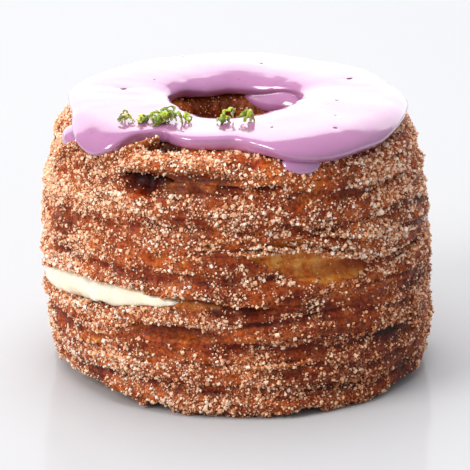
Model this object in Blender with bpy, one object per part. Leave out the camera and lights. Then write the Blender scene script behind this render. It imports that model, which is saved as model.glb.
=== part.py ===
"""A tall ring doughnut of laminated (croissant) dough, with a cream layer inside and icing on top.

The pastry stands on its flat base, with +Z up and its hole along Z. The front is -Y, and angles
run anticlockwise from +X, so 180 degrees is the left side and 270 degrees the front.

Three solids are made: the dough ring, the layer of cream that breaks out of its left side,
and the ring of thick icing that lies on its top.
"""

import math

import bmesh
import bpy
import numpy as np
from mathutils import Vector, noise

MM = 0.001

# Driving dimensions of the dough ring
OUTER_RADIUS = 42.6 * MM
HOLE_RADIUS = 13.6 * MM
DOUGH_HEIGHT = 58.4 * MM
BASE_ROUND = 2.6 * MM
SHOULDER_ROUND = 6.0 * MM
LIP_ROUND = 3.2 * MM
BARREL = 0.8 * MM  # how far the wall swells half way up
HOLE_BELLY = 1.0 * MM  # how far the hole narrows half way down
BASE_LEAN = 1.3 * MM  # the ring bulges this far to +X at its foot, and to -X at its top
AXIS_SHIFT = (-0.5 * MM, 0.0)  # centres the uneven ring on the origin

# Slow unevenness of each face, as layers of noise: height, feature size, seed
WALL_LUMPS = ((1.35 * MM, 30 * MM, 3.0), (0.63 * MM, 9 * MM, 11.0))
HOLE_LUMPS = ((0.6 * MM, 12 * MM, 19.0),)
TOP_LUMPS = ((0.7 * MM, 16 * MM, 27.0),)

# The laminated layers: the mean height of each seam between two layers
SEAM_HEIGHTS = tuple(h * MM for h in (7.0, 15.5, 24.0, 33.0, 42.0, 50.5))
SEAM_DEPTH = 1.2 * MM
SEAM_HALF = 1.1 * MM
SEAM_UNDERCUT = 1.8  # a groove is this many times steeper under its upper layer's edge
SEAM_STRENGTH = 0.65  # mean share of the full depth, which the noise below sways
SEAM_FADE = (0.5, 22 * MM)  # sway of the strength, and the length of its noise
# Waves of a seam round the ring: waves in a turn, height, and phase added from seam to seam
SEAM_WAVES = ((1, 0.87 * MM, 2.1), (2, 0.52 * MM, 1.3), (5, 0.30 * MM, 2.9))

# Split pockets between layers, seen where a layer has lifted: middle angle, middle height,
# half width in degrees, half height, depth, and how far the pocket climbs per degree
POCKETS = (
    (251, 50.2 * MM, 23, 2.3 * MM, 4.2 * MM, -0.07 * MM),
    (297, 30.0 * MM, 25, 3.6 * MM, 4.0 * MM, -0.14 * MM),
    (253, 17.4 * MM, 20, 2.4 * MM, 3.4 * MM, -0.03 * MM),
    (312, 39.0 * MM, 21, 1.7 * MM, 2.4 * MM, -0.17 * MM),
    (266, 25.4 * MM, 13, 1.4 * MM, 2.8 * MM, -0.04 * MM),
    (12, 20.5 * MM, 23, 2.6 * MM, 3.6 * MM, 0.05 * MM),
    (48, 45.0 * MM, 22, 2.4 * MM, 3.4 * MM, -0.06 * MM),
    (92, 28.5 * MM, 25, 3.0 * MM, 4.0 * MM, 0.07 * MM),
    (136, 48.0 * MM, 20, 2.0 * MM, 3.2 * MM, -0.05 * MM),
    (84, 12.5 * MM, 19, 2.0 * MM, 3.0 * MM, 0.04 * MM),
)

# The cream layer, a flat ring inside the dough that reaches its side on the left
CREAM_INNER = 21.0 * MM
CREAM_OUTER = 35.0 * MM
CREAM_HALF = 1.5 * MM  # half its thickness where it is hidden
CREAM_SPLIT_HALF = 2.7 * MM  # half the height of the split in the dough's side
CREAM_THINNEST = 0.4 * MM  # half its thickness at the split's pointed ends
CREAM_LEVEL = 24.0 * MM
CREAM_SWAY = 2.0 * MM
CREAM_HIGH_SIDE = 250.0  # degrees round to where the swaying layer is highest
CREAM_DIP = 4.3 * MM
CREAM_DIP_SIDE = 180.0
CREAM_DIP_WIDTH = 28.0
SPLIT_MIDDLE = 190.0
SPLIT_FRONT = 60.0  # degrees from the split's middle to its pointed front end
SPLIT_BACK = 38.0
CREAM_SET_BACK = 0.5 * MM  # how far the cream stays behind the dough's face
CUT_PAST = 6.0 * MM  # how far the cream's cutter runs out of the split

# The icing ring
ICING_HEIGHT = 5.7 * MM
ICING_INNER = 15.2 * MM
ICING_OUTER = 37.6 * MM
ICING_EDGE = 1.7 * MM  # thickness of its rounded rim
ICING_DOME = (3.6, 0.6)  # powers that set how flat its top is and how round its shoulders
# Lobes of its outer and inner edges: lobes in a turn, how far they reach, phase
ICING_LOBES = ((3, 0.72 * MM, 0.4), (5, 0.64 * MM, 2.2), (8, 0.4 * MM, 0.0))
ICING_HOLE_LOBES = ((2, 0.5 * MM, 1.0), (5, 0.3 * MM, 0.0))
ICING_CROWN_WAVES = ((2, 0.4 * MM, 0.7),)

GAP = 0.3 * MM  # clearance between touching pieces

# Mesh density: columns round the ring
DOUGH_COLUMNS = 62
CREAM_COLUMNS = 48
ICING_COLUMNS = 48


def smooth(edge0, edge1, x):
    """0 before edge0, 1 after edge1, and an easy curve between."""
    t = min(1.0, max(0.0, (x - edge0) / (edge1 - edge0)))
    return t * t * (3 - 2 * t)


def degrees_between(a, b):
    """The signed angle from b to a, from -180 to 180."""
    return (a - b + 180.0) % 360.0 - 180.0


def ring_noise(theta, z, scale, seed):
    """Noise that closes on itself round the ring. scale is the feature size."""
    radius = OUTER_RADIUS / scale
    return noise.noise(Vector((math.cos(theta) * radius, math.sin(theta) * radius, z / scale + seed)))


def lumps(theta, z, layers):
    """The sum of some layers of noise, each (height, feature size, seed)."""
    return sum(height * ring_noise(theta, z, size, seed) for height, size, seed in layers)


def waves(theta, harmonics):
    """The sum of some waves round the ring, each (waves in a turn, height, phase)."""
    return sum(height * math.sin(turns * theta + phase) for turns, height, phase in harmonics)


def seam_height(index, theta):
    """Height of a seam between layers. Each seam has its own slow wave."""
    own_waves = [(turns, height, step * index) for turns, height, step in SEAM_WAVES]
    return SEAM_HEIGHTS[index] + waves(theta, own_waves)


def seam_cut(theta, z):
    """Depth of the groove at the nearest seam. The underside of a layer is the steeper side."""
    depth = 0.0
    for index in range(len(SEAM_HEIGHTS)):
        above = (z - seam_height(index, theta)) / SEAM_HALF
        fall = above if above > 0 else -above / SEAM_UNDERCUT
        sway, length = SEAM_FADE
        strength = SEAM_STRENGTH + sway * ring_noise(theta, 0.0, length, 7.0 * index)
        depth = max(depth, SEAM_DEPTH * strength * math.exp(-fall * fall))
    return depth


def wall_radius(theta, z):
    """Radius of the dough's outer wall, measured from the ring's axis."""
    lean = BASE_LEAN * math.cos(theta) * (1 - 2 * z / DOUGH_HEIGHT)
    barrel = BARREL * math.sin(math.pi * min(1.0, max(0.0, z / DOUGH_HEIGHT)))
    return OUTER_RADIUS + barrel + lean + lumps(theta, z, WALL_LUMPS) - seam_cut(theta, z)


def hole_radius(theta, z):
    """Radius of the hole's wall, which bellies inwards half way down."""
    belly = HOLE_BELLY * math.sin(math.pi * z / DOUGH_HEIGHT)
    return HOLE_RADIUS - belly + lumps(theta, z, HOLE_LUMPS)


def top_height(theta, radius):
    """Height of the dough's top face, which is gently uneven."""
    return DOUGH_HEIGHT + lumps(theta, radius, TOP_LUMPS)


def to_point(theta, radius, z):
    """The point at an angle and radius about the ring's own axis."""
    return (
        AXIS_SHIFT[0] + radius * math.cos(theta),
        AXIS_SHIFT[1] + radius * math.sin(theta),
        z,
    )


def arc(steps):
    """The angles inside a quarter turn, its two ends left out."""
    return [math.pi / 2 * step / steps for step in range(1, steps)]


def shoulder_point(theta, turn):
    """(radius, z) on the rounded edge between wall and top. Turn 0 is on the wall."""
    foot = DOUGH_HEIGHT - SHOULDER_ROUND
    radius = wall_radius(theta, foot) - SHOULDER_ROUND * (1 - math.cos(turn))
    top = top_height(theta, radius)
    return radius, foot + (top - foot) * math.sin(turn)


def lip_point(theta, turn):
    """(radius, z) on the rounded edge between top and hole. Turn 0 is on top."""
    foot = DOUGH_HEIGHT - LIP_ROUND
    radius = hole_radius(theta, foot) + LIP_ROUND * (1 - math.sin(turn))
    top = top_height(theta, radius)
    return radius, foot + (top - foot) * math.cos(turn)


def dough_section(theta):
    """The dough's outline at one angle, as (radius, z): along the base, up the wall, down the hole."""
    base_inner = hole_radius(theta, LIP_ROUND) + LIP_ROUND
    base_outer = wall_radius(theta, BASE_ROUND) - BASE_ROUND
    points = [(base_inner, 0.0), ((base_inner + base_outer) / 2, 0.0), (base_outer, 0.0)]
    for turn in arc(3):
        points.append((base_outer + BASE_ROUND * math.sin(turn), BASE_ROUND * (1 - math.cos(turn))))

    # Three rows to each layer, at its seam and on its belly, so that the rows follow the layers.
    heights = [BASE_ROUND]
    for index in range(len(SEAM_HEIGHTS)):
        seam = seam_height(index, theta)
        heights += [seam - 2.2 * SEAM_HALF, seam, seam + 1.6 * SEAM_HALF]
    wall_top = DOUGH_HEIGHT - SHOULDER_ROUND
    heights = [height for height in heights if height < wall_top] + [wall_top]
    rows = 3 * len(SEAM_HEIGHTS) + 1
    heights = np.interp(np.linspace(0, 1, rows), np.linspace(0, 1, len(heights)), heights)
    points += [(wall_radius(theta, z), z) for z in heights]

    points += [shoulder_point(theta, turn) for turn in arc(4)]
    outer = shoulder_point(theta, math.pi / 2)
    inner = lip_point(theta, 0.0)
    for share in np.linspace(0, 1, 4):
        radius = outer[0] + (inner[0] - outer[0]) * share
        points.append((radius, top_height(theta, radius)))
    points += [lip_point(theta, turn) for turn in arc(3)]
    for z in np.linspace(DOUGH_HEIGHT - LIP_ROUND, LIP_ROUND, 4):
        points.append((hole_radius(theta, z), z))
    foot = hole_radius(theta, LIP_ROUND)
    for turn in arc(3):
        points.append((foot + LIP_ROUND * (1 - math.cos(turn)), LIP_ROUND * (1 - math.sin(turn))))
    return points


def cream_middle(theta):
    """Height of the middle of the cream layer. It dips where it meets the left side."""
    angle = math.degrees(theta)
    dip = math.exp(-((degrees_between(angle, CREAM_DIP_SIDE) / CREAM_DIP_WIDTH) ** 2))
    sway = math.cos(theta - math.radians(CREAM_HIGH_SIDE))
    return CREAM_LEVEL + CREAM_SWAY * sway - CREAM_DIP * dip


def split_share(theta):
    """How open the split in the dough's side is, from 1 at its middle to 0 at its pointed ends."""
    away = degrees_between(math.degrees(theta), SPLIT_MIDDLE)
    half = SPLIT_FRONT if away > 0 else SPLIT_BACK
    return max(0.0, 1 - (away / half) ** 2)


def cream_section(theta, grow, reach):
    """The cream's outline at one angle.

    For its cutter, grow thickens it and reach carries it out past the dough's face.
    """
    middle = cream_middle(theta)
    share = split_share(theta)
    opened = smooth(0.0, 0.22, share)
    face = wall_radius(theta, middle) - CREAM_SET_BACK
    outer = CREAM_OUTER + (face - CREAM_OUTER) * opened
    inner = CREAM_INNER - grow
    # Half thickness where it is hidden blends into the height of the split.
    rim_half = CREAM_HALF + (CREAM_SPLIT_HALF * share - CREAM_HALF) * smooth(0.0, 0.10, share)
    rim_half = max(rim_half, CREAM_THINNEST)
    shoulder = outer - rim_half
    end = outer + grow + reach * opened
    end_half = (rim_half + grow) * (1.0 if reach else 0.55)
    rim_half += grow
    half = CREAM_HALF + grow
    neck = 0.5 * (CREAM_INNER + CREAM_OUTER)
    return [
        (inner, middle - 0.55 * half),
        (inner + half, middle - half),
        (neck, middle - half),
        (shoulder, middle - rim_half),
        (end, middle - end_half),
        (end, middle + end_half),
        (shoulder, middle + rim_half),
        (neck, middle + half),
        (inner + half, middle + half),
        (inner, middle + 0.55 * half),
    ]


def icing_reach(theta):
    """How far round the icing's rim hangs out, as lobes of slow-set icing."""
    return ICING_OUTER + waves(theta, ICING_LOBES)


def icing_hole(theta):
    """Radius of the hole in the icing."""
    return ICING_INNER + waves(theta, ICING_HOLE_LOBES)


def dough_top_at(theta, radius):
    """Height of the dough under the icing, over its top face and both rounded edges."""
    foot = DOUGH_HEIGHT - SHOULDER_ROUND
    wall = wall_radius(theta, foot)
    into_shoulder = radius - (wall - SHOULDER_ROUND)
    into_lip = hole_radius(theta, DOUGH_HEIGHT - LIP_ROUND) + LIP_ROUND - radius
    top = top_height(theta, radius)
    if into_shoulder > 0:
        share = min(1.0, into_shoulder / SHOULDER_ROUND)
        return foot + (top - foot) * math.sqrt(1 - share * share)
    if into_lip > 0:
        share = min(1.0, into_lip / LIP_ROUND)
        return top - LIP_ROUND * (1 - math.sqrt(1 - share * share))
    return top


def icing_section(theta):
    """The icing's outline at one angle: its underside follows the dough, and its top is a low dome."""
    inner, outer = icing_hole(theta), icing_reach(theta)
    middle, half = (inner + outer) / 2, (outer - inner) / 2
    crown = ICING_HEIGHT + waves(theta, ICING_CROWN_WAVES)
    flatness, roundness = ICING_DOME
    points = []
    for share in (-0.96, -0.6, 0.0, 0.6, 0.9, 0.97):
        radius = middle + half * share
        points.append((radius, dough_top_at(theta, radius) + GAP))
    for share in (1.0, 0.95, 0.8, 0.5, 0.1, -0.4, -0.75, -0.93, -1.0):
        radius = middle + half * share
        dome = (1 - abs(share) ** flatness) ** roundness
        height = dough_top_at(theta, radius) + GAP + ICING_EDGE / 2
        points.append((radius, height + (crown - ICING_EDGE / 2) * dome))
    return points


def ring_mesh(name, section, columns):
    """A closed ring: the same outline at each angle, joined to the next all the way round."""
    loops = [section(2 * math.pi * column / columns) for column in range(columns)]
    count = len(loops[0])
    vertices = []
    for column, loop in enumerate(loops):
        theta = 2 * math.pi * column / columns
        vertices += [to_point(theta, radius, z) for radius, z in loop]
    faces = []
    for column in range(columns):
        here, after = column * count, (column + 1) % columns * count
        for row in range(count):
            up = (row + 1) % count
            faces.append((here + row, after + row, after + up, here + up))
    mesh = bpy.data.meshes.new(name)
    mesh.from_pydata(vertices, [], faces)
    mesh.update()
    made = bpy.data.objects.new(name, mesh)
    bpy.context.scene.collection.objects.link(made)
    mesh.shade_smooth()
    return made


def material(name, colour, roughness):
    """A plain material with one colour and one roughness."""
    made = bpy.data.materials.new(name)
    made.use_nodes = True
    shader = made.node_tree.nodes["Principled BSDF"]
    shader.inputs["Base Color"].default_value = (*colour, 1.0)
    shader.inputs["Roughness"].default_value = roughness
    shader.inputs["Metallic"].default_value = 0.0
    return made


def pocket_cutter(index, pocket):
    """A long lens, bent round the wall and pointed at both ends."""
    middle, height, half_angle, half_height, depth, climb = pocket
    lens = bmesh.new()
    bmesh.ops.create_uvsphere(lens, u_segments=8, v_segments=12, radius=1.0)
    for vertex in lens.verts:
        outward, up, clockwise = vertex.co
        away = -half_angle * clockwise
        theta = math.radians(middle + away)
        z = height + climb * away + half_height * up
        vertex.co = to_point(theta, wall_radius(theta, height) + depth * outward, z)
    mesh = bpy.data.meshes.new(f"pocket_cutter_{index}")
    lens.to_mesh(mesh)
    lens.free()
    made = bpy.data.objects.new(mesh.name, mesh)
    bpy.context.scene.collection.objects.link(made)
    return made


def cut_away(solid, cutter):
    """Takes the cutter's shape out of the solid."""
    cutter.hide_render = True
    cutter.display_type = "WIRE"
    cut = solid.modifiers.new(cutter.name, "BOOLEAN")
    cut.operation = "DIFFERENCE"
    cut.object = cutter


def make_dough():
    """The dough ring, with its pockets and the space for the cream cut out of it."""
    dough = ring_mesh("dough", dough_section, DOUGH_COLUMNS)
    dough.data.materials.append(material("fried_dough", (0.42, 0.17, 0.05), 0.6))
    for index, pocket in enumerate(POCKETS):
        cut_away(dough, pocket_cutter(index, pocket))
    cream_space = ring_mesh("cream_space", lambda theta: cream_section(theta, GAP, CUT_PAST), CREAM_COLUMNS)
    cut_away(dough, cream_space)
    return dough


def make_cream():
    """The ring of cream that fills the split."""
    cream = ring_mesh("cream", lambda theta: cream_section(theta, 0.0, 0.0), CREAM_COLUMNS)
    cream.data.materials.append(material("cream", (0.91, 0.83, 0.66), 0.45))
    return cream


def make_icing():
    """The thick ring of icing on top."""
    icing = ring_mesh("icing", icing_section, ICING_COLUMNS)
    icing.data.materials.append(material("icing", (0.62, 0.35, 0.55), 0.25))
    return icing


def main():
    for old in list(bpy.data.objects):
        bpy.data.objects.remove(old, do_unlink=True)
    make_dough()
    make_cream()
    make_icing()


main()
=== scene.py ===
"""The looks of an iced ring doughnut made of laminated (croissant) dough.

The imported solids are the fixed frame. Each one is replaced by a finer mesh that follows the same
form: the flaky dough, the cream in its split, and the icing with its lobes. Cinnamon sugar,
lifted flakes and curls of citrus zest are added as small real meshes.

+Z is up and the front is -Y. Angles run anticlockwise from +X, so 270 degrees is the front.
"""

import math

import bmesh
import bpy
import numpy as np
from mathutils import Matrix, Vector, noise
from mathutils.bvhtree import BVHTree


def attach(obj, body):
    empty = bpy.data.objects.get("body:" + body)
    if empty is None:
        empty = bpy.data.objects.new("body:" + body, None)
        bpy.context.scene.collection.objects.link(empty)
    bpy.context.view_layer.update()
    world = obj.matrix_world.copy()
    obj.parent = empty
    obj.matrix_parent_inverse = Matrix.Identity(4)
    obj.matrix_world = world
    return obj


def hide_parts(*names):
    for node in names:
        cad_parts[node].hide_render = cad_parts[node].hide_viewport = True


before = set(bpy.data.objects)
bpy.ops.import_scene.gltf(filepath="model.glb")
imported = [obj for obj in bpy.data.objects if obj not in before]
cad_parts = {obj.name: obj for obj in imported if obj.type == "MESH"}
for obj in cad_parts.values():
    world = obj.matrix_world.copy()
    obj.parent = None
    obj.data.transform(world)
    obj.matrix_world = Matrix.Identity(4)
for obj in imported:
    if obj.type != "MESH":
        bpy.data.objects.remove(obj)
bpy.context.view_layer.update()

MM = 0.001


def in_mm(columns, rows):
    """Rows of numbers, with the numbers in some columns changed from millimetres to metres."""
    return tuple(tuple(v * MM if i in columns else v for i, v in enumerate(row)) for row in rows)


# The dough ring, as in the CAD model
OUTER_RADIUS = 42.6 * MM
HOLE_RADIUS = 13.6 * MM
DOUGH_HEIGHT = 58.4 * MM
BASE_ROUND = 2.6 * MM
SHOULDER_ROUND = 6.0 * MM
LIP_ROUND = 3.2 * MM
BARREL = 0.8 * MM
HOLE_BELLY = 1.0 * MM
BASE_LEAN = 1.3 * MM
AXIS_SHIFT = (-0.5 * MM, 0.0)
WALL_TOP = DOUGH_HEIGHT - SHOULDER_ROUND
WALL_LUMPS = ((1.35 * MM, 30 * MM, 3.0), (0.63 * MM, 9 * MM, 11.0))
HOLE_LUMPS = ((0.6 * MM, 12 * MM, 19.0),)
TOP_LUMPS = ((0.7 * MM, 16 * MM, 27.0),)
SEAM_HEIGHTS = tuple(h * MM for h in (7.0, 15.5, 24.0, 33.0, 42.0, 50.5))
SEAM_DEPTH = 1.2 * MM
SEAM_HALF = 1.1 * MM
SEAM_UNDERCUT = 1.8
SEAM_STRENGTH = 0.65
SEAM_FADE = (0.5, 22 * MM)
SEAM_WAVES = ((1, 0.87 * MM, 2.1), (2, 0.52 * MM, 1.3), (5, 0.30 * MM, 2.9))

# Pockets where a layer has lifted: middle angle, height, half width in degrees, half height,
# depth, climb per degree, how clear of sugar they are, and how golden
POCKETS = in_mm((1, 3, 4, 5), (
    (242, 53.3, 9.5, 3.6, 6.6, 0, 1, 0),
    (257, 54.2, 16, 4.1, 2.9, 0.01, 0.95, 0.35),
    (269, 52, 6, 1.7, 3, 0, 0.9, 0.1),
    (280, 52.4, 5, 1.5, 2.4, 0, 0.85, 0),
    (293, 35.1, 21, 4.7, 1.7, -0.165, 0.93, 1),
    (297, 41.4, 15, 1.3, 0.8, -0.24, 0.93, 0.05),
    (251, 19.2, 14, 2.7, 2.6, -0.03, 1, 0.15),
    (258, 26.4, 11, 1.9, 1.5, -0.03, 0.85, 0.6),
    (274, 25.2, 9, 1.3, 1.8, -0.05, 0.6, 0),
    (236, 28.2, 9, 1.1, 0.7, 0, 0.8, 0.8),
    (238, 46, 9, 0.7, 1.6, -0.21, 0.5, 0.2),
    (356, 45.4, 18, 1.9, 2.6, 0, 0.9, 0.6),
    (12, 20.5, 23, 2.6, 3.2, 0.05, 1, 0.6),
    (48, 40, 22, 2.4, 3, -0.06, 0.9, 0.3),
    (92, 28.5, 25, 3.2, 3.2, 0.07, 1, 0.7),
    (136, 48, 20, 2, 3, -0.05, 0.9, 0.2),
    (84, 12.5, 19, 2, 3, 0.04, 0.9, 0.1),
    (150, 11, 14, 1.2, 2, 0.06, 0.6, 0.2),
))

FULL_SHADE_DEPTH = 4.6 * MM  # a pocket this deep gets full painted shade under its roof
POCKET_LIP = 0.55 * MM  # how far the leaf over a pocket stands out
POCKET_DROOP = 0.5 * MM  # how far it hangs down

# Small gaps at the foot where the dough doesn't touch the floor: middle angle, half width
FOOT_GAPS = ((246, 5.0), (292, 6.0), (30, 6.0), (120, 5.0))
FOOT_GAP_HEIGHT = 2.6 * MM
FOOT_GAP_DEPTH = 2.2 * MM

# Where the foot is rounded far under: middle angle, half width, depth, height
TUCKS = in_mm((2, 3), ((209, 33, 7, 6), (346, 28, 2.2, 5)))

# Where the upper wall draws in: middle angle, half width, depth
DRAWN_IN = in_mm((2,), ((183, 60, 2.3), (0, 55, 1.5)))
DRAWN_IN_HEIGHTS = (40 * MM, 55 * MM)

# A pit in the dough's top, under the notch in the icing, also darkened with painted shade: angle,
# level, half width in degrees, half height, depth
PIT = (242.0, 64.8 * MM, 5.5, 1.8 * MM, 4.2 * MM)

# A bulge low down on the right: middle angle, half width in degrees, reach, height, spread
BULGE = (347.0, 55.0, 1.5 * MM, 13.5 * MM, 9.0 * MM)

# The cream and its split
CREAM_SPLIT_HALF = 3.0 * MM
CREAM_LEVEL = 24.0 * MM
CREAM_SWAY = 2.0 * MM
CREAM_HIGH_SIDE = 250.0
CREAM_DIP = 3.5 * MM
CREAM_DIP_SIDE = 180.0
CREAM_DIP_WIDTH = 28.0
SPLIT_MIDDLE = 212.0
SPLIT_FRONT = 42.0
SPLIT_BACK = 37.0
SPLIT_DEPTH = 7.0 * MM
CREAM_SET_BACK = 0.2 * MM
CREAM_LUMPS = ((0.45 * MM, 4.5 * MM, 301.0), (0.18 * MM, 1.7 * MM, 307.0))
CREAM_SMEAR = (213.0, 223.0, 21.1 * MM, 0.55 * MM)  # first and last angle, height, half height

# Leaves that stand off the side: middle angle, half width in degrees, height, climb per degree,
# how far the edge reaches out and up, thickness
FLAKES = in_mm((2, 3, 4, 5, 6), (
    (301, 15, 37.2, -0.165, 0.9, -0.7, 0.5),
    (251, 19, 58, 0, 0.9, -0.5, 0.8),
    (250, 15, 22.4, -0.03, 0.6, -0.4, 0.5),
    (304, 14, 40.6, -0.17, 0.8, -0.5, 0.7),
    (238, 11, 46.9, -0.21, 0.8, -0.3, 0.4),
    (205, 16, 47, -0.12, 0.8, 0.4, 0.6),
    (272, 20, 41, 0.05, 0.7, 0.3, 0.5),
    (232, 22, 11.5, 0.03, 0.8, -0.3, 0.6),
    (282, 18, 12.5, 0.04, 0.8, -0.4, 0.6),
    (320, 22, 18, 0.08, 0.9, -0.4, 0.6),
    (336, 14, 31, 0.02, 0.8, 0.4, 0.6),
    (12, 23, 23, 0.05, 0.9, -0.8, 0.6),
    (48, 22, 47.2, -0.06, 0.9, -0.8, 0.7),
    (92, 25, 31.4, 0.07, 0.9, -0.9, 0.6),
    (136, 20, 49.8, -0.05, 0.9, -0.7, 0.7),
    (84, 19, 14.4, 0.04, 0.8, -0.6, 0.6),
))
FLAKE_ROOT = 2.2 * MM  # how deep a leaf starts inside the dough
FLAKE_SHOULDER = 11 * MM  # sets how a leaf draws in over the shoulder
SCATTERED_FLAKES = 66
CREAM_CLEARANCE = 5 * MM  # scattered leaves stay this far from the cream's middle
FLAKE_SEEDS = (201.0, 401.0, 500.0)  # of the chosen leaves, the rising ones and the scattered ones

# Leaves that rise to the icing: free edge as (angle, radius, z), offset of the root, thickness
LEAF_PATHS = (
    (
        in_mm((1, 2), ((226, 42.2, 56.4), (232, 40.2, 58.6), (237, 37.2, 60.2), (241, 34.2, 61.2))),
        (-1.0 * MM, -3.4 * MM),
        0.9 * MM,
    ),
    (
        in_mm((1, 2), ((196, 42.8, 50.8), (202, 42.4, 53.8), (207, 41.4, 56.2), (212, 40.2, 57.8))),
        (-1.6 * MM, -2.4 * MM),
        0.8 * MM,
    ),
)

# Fine relief of the dough's side. Families of leaves: pitch, depth, how far they wander, length
# of that wander, seed
LEAVES = in_mm((0, 1, 2, 3), ((5.4, 0.95, 3.2, 19, 41.0), (2.1, 0.42, 1.5, 11, 43.0)))
LEDGE_MEAN = 0.45
LEAF_TILT = (1.6 * MM, 0.6)  # how far the leaves lean over the ring, and from which angle
CRUST_LUMPS = ((0.50 * MM, 4.2 * MM, 51.0), (0.36 * MM, 1.8 * MM, 57.0))
HOLE_CRUST_LUMPS = ((0.5 * MM, 5 * MM, 101.0), (0.3 * MM, 2.5 * MM, 103.0))
HOLE_BARE, HOLE_SUGAR, BASE_BARE = 0.1, 0.12, 0.2

# The icing, as points round the ring of (angle, value) joined by smooth curves. Its reach is
# measured outwards over the dough's top and down its rounded shoulder.
ICING_REACH = in_mm((1,), (
    (0, 37.9), (18, 36.6), (38, 37.8), (58, 36.2), (80, 37.6), (104, 36), (128, 37.2), (152, 37),
    (168, 37.4), (182, 36.6), (196, 36.8), (207, 38.8), (217, 40.9), (225, 41.4), (230, 40),
    (235, 34.4), (239.5, 31.4), (246, 33.2), (253, 34.4), (263, 33.8), (271, 33.6), (277, 36.6),
    (285, 39.8), (295, 41.2), (306, 41), (319, 40.2), (332, 39), (346, 38.2),
))
ICING_CREST = in_mm((1,), (
    (0, 4.9), (45, 5.1), (90, 5.5), (135, 5.1), (180, 4.4), (210, 4.2), (237, 3.7), (270, 3.9),
    (315, 4.7),
))
ICING_CREST_RADIUS = in_mm((1,), ((0, 26), (90, 24), (180, 25.5), (225, 26), (270, 25)))
ICING_INNER_REACH = 1.6 * MM  # how far it runs down the hole's rounded lip
ICING_INNER_WAVES = ((2, 0.5 * MM, 1.0), (3, 0.5 * MM, 0.3), (5, 0.3 * MM, 0.0))
ICING_RIM = 2.0 * MM  # height of the widest part of its rolled rim above the dough
ICING_SINK = 0.5 * MM
# Powers that set how square its outline is, across and up: outer half, and inner half as points
# round the ring
ICING_OUTER_SQUARE = (0.62, 0.46)
ICING_INNER_ACROSS = ((0, 0.72), (90, 0.85), (180, 0.72), (270, 0.9))
ICING_INNER_UP = ((0, 0.55), (90, 0.7), (180, 0.55), (270, 0.7))
ICING_LUMPS = ((0.30 * MM, 19 * MM, 63.0), (0.06 * MM, 6 * MM, 67.0))
# Small fruit specks and dents in it: angle, radius, size
ICING_SPECKS = in_mm((1, 2), (
    (170.5, 25.4, 1), (22, 28.4, 0.7), (340.5, 24.4, 0.55), (307.3, 36.4, 0.7), (287, 28.4, 0.6),
    (150, 21, 0.4), (252, 36.2, 0.4), (75, 24, 0.6), (112, 32, 0.6), (318, 30, 0.4),
))
# Second lobes that have run out from under the rim: angle, reach, half width in degrees, half
# length, height
ICING_DRIPS = in_mm((1, 3, 4), (
    (202.5, 39, 7, 2.7, 1.9),
    (291.5, 40.2, 6.4, 2.8, 1.2),
    (95, 37.7, 9, 3.2, 1.7),
    (52, 16.5, 31, 4.6, 2.3),
))

# Sugar: its mean thickness, the tint that the upper left tends to, and its grains: name, shape,
# number, mean width, spread of the width, share that stands proud, how strongly it keeps to the
# sugary places, seed, and range of tints from brown to white
SUGAR_MEAN = 0.56
EVEN_TINT = 0.58
GRAINS = (
    ("sugar_coarse", "cube", 8800, 0.46 * MM, 0.22, 0.40, 1.8, 21, (0.35, 1.0)),
    ("sugar_medium", "gem", 23000, 0.52 * MM, 0.22, 0.25, 1.4, 22, (0.1, 1.0)),
    ("sugar_fine", "chip", 46000, 0.46 * MM, 0.25, 0.25, 1.0, 23, (0.0, 0.95)),
    ("sugar_powder", "chip", 22000, 0.30 * MM, 0.25, 0.25, 0.7, 25, (0.1, 1.0)),
    ("cinnamon", "chip", 8000, 0.36 * MM, 0.3, 0.25, 0.6, 24, (0.0, 1.0)),
)

# Mesh density
DOUGH_COLUMNS = 560
FOOT_ROWS = 6
WALL_ROWS = 106
SHOULDER_ROWS = 18
BROW_ROWS = 12
BROW_WIDTH = 6.5 * MM  # the strip of the dough's top that shows beyond the icing
ICING_COLUMNS = 480
ICING_ROWS = 84

# Camera and studio
CAMERA_ELEVATION = 17.2
CAMERA_DISTANCE = 0.9
CAMERA_LENS = 301.6
SENSOR_WIDTH = 36.0
AIM = (-0.34 * MM, 0.0, 29.2 * MM)


# --- shape helpers


def smooth(edge0, edge1, x):
    """0 before edge0, 1 after edge1, and an easy curve between."""
    t = np.clip((x - edge0) / (edge1 - edge0), 0.0, 1.0)
    return t * t * (3 - 2 * t)


def degrees_between(a, b):
    """The signed angle from b to a, from -180 to 180."""
    return (a - b + 180.0) % 360.0 - 180.0


def hump(x, middle, width):
    """1 at the middle, falling smoothly to nothing on both sides of it."""
    return np.exp(-(((x - middle) / width) ** 2))


def bell(angle, middle, width):
    """A hump round the ring, in degrees."""
    return hump(degrees_between(angle, middle), 0, width)


def dome(angle, middle, half_angle):
    """1 at an angle, falling to 0 at half_angle on both sides of it."""
    return np.clip(1 - (degrees_between(angle, middle) / half_angle) ** 2, 0, 1)


def steps(start, end, count):
    """Evenly spaced numbers from start, as a row, without the end itself."""
    return np.linspace(start, end, count, endpoint=False)[None, :]


def noise_at(x, y, z):
    """Gradient noise at arrays of points."""
    x, y, z = np.broadcast_arrays(x, y, z)
    points = zip(x.ravel().tolist(), y.ravel().tolist(), z.ravel().tolist())
    values = np.fromiter((noise.noise(point) for point in points), float, x.size)
    return values.reshape(x.shape)


def ring_noise(theta, z, size, seed, stretch=1.0):
    """Noise that closes on itself round the ring. stretch draws it out along the ring."""
    radius = OUTER_RADIUS / size / stretch
    return noise_at(np.cos(theta) * radius, np.sin(theta) * radius, z / size + seed)


def lumps(theta, z, layers):
    """The sum of some layers of noise, each (height, feature size, seed)."""
    return sum(height * ring_noise(theta, z, size, seed) for height, size, seed in layers)


def waves(theta, harmonics):
    """The sum of some waves round the ring, each (waves in a turn, height, phase)."""
    return sum(height * np.sin(turns * theta + phase) for turns, height, phase in harmonics)


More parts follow.
